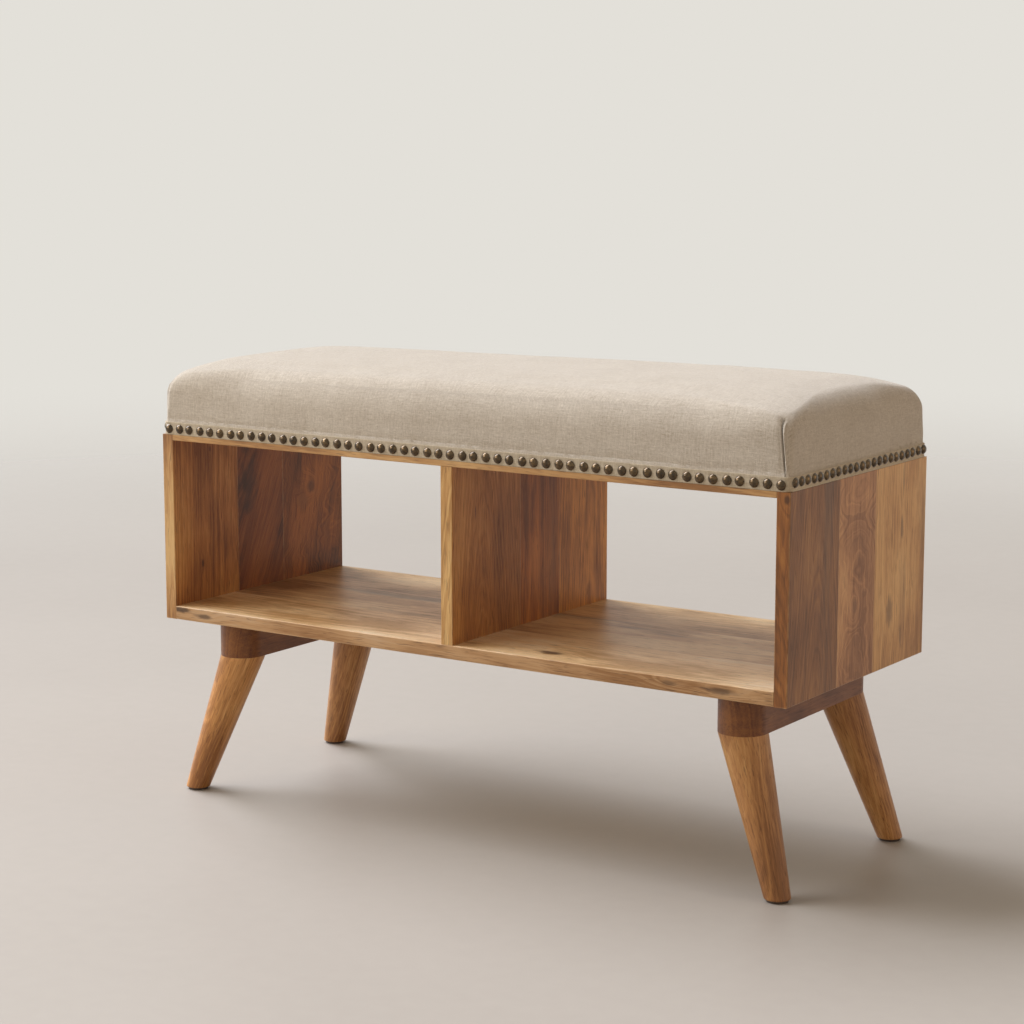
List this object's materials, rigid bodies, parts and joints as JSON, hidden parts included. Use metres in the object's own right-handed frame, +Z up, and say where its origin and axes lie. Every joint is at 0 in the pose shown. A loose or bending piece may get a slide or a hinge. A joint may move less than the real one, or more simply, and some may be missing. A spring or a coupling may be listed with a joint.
{
  "type": "entryway bench",
  "caption": "Two-bay open wooden entryway bench on splayed tapered legs, with an upholstered linen seat pinned on by a taped row of domed nails.",
  "frame": {"origin": "middle of the footprint, on the floor under the glides", "axes": "+Z up, +X along the length to the right as seen from the front, +Y to the back"},
  "size_m": [0.9066, 0.3566, 0.572],
  "materials": {
    "side_wood": "satin, vertical grain, edge-glued staves of mixed tone",
    "divider_wood": "satin, vertical grain",
    "board_wood": "satin, grain along the length",
    "leg_wood": "satin, grain along the leg",
    "rail_wood": "satin",
    "dowel_wood": "plain beech",
    "glide_plastic": "matt black",
    "steel": "zinc plated",
    "linen": "plain weave with slubs, matt",
    "tape": "woven tape, matt",
    "wadding": "fibre wadding",
    "foam": "open-cell foam",
    "antique_brass": "antiqued, dark in the hollows, worn bright on the dome"
  },
  "bodies": {
    "root": {"divider_dowels": "dowel_wood", "divider_front_stave": "divider_wood", "divider_middle_stave": "divider_wood", "divider_rear_stave": "divider_wood", "foam_pad": "foam", "foot_glide_front_left": "glide_plastic", "foot_glide_front_right": "glide_plastic", "foot_glide_rear_left": "glide_plastic", "foot_glide_rear_right": "glide_plastic", "glide_nails": "steel", "left_leg_rail": "rail_wood", "left_side_front_stave": "side_wood", "left_side_middle_stave": "side_wood", "left_side_rear_stave": "side_wood", "leg_dowels_left": "dowel_wood", "leg_dowels_right": "dowel_wood", "leg_front_left": "leg_wood", "leg_front_right": "leg_wood", "leg_rear_left": "leg_wood", "leg_rear_right": "leg_wood", "linen_cover": "linen", "nail_tape": "tape", "polyester_wadding": "wadding", "rail_bolts": "steel", "rail_washers": "steel", "right_leg_rail": "rail_wood", "right_side_front_stave": "side_wood", "right_side_middle_stave": "side_wood", "right_side_rear_stave": "side_wood", "seat_board_front_stave": "board_wood", "seat_board_middle_stave": "board_wood", "seat_board_rear_stave": "board_wood", "shelf_front_stave": "board_wood", "shelf_middle_stave": "board_wood", "shelf_rear_stave": "board_wood", "side_dowels_left": "dowel_wood", "side_dowels_right": "dowel_wood", "threaded_inserts": "steel", "upholstery_nails_back": "antique_brass", "upholstery_nails_front": "antique_brass", "upholstery_nails_left": "antique_brass", "upholstery_nails_right": "antique_brass"}
  },
  "joints": []
}
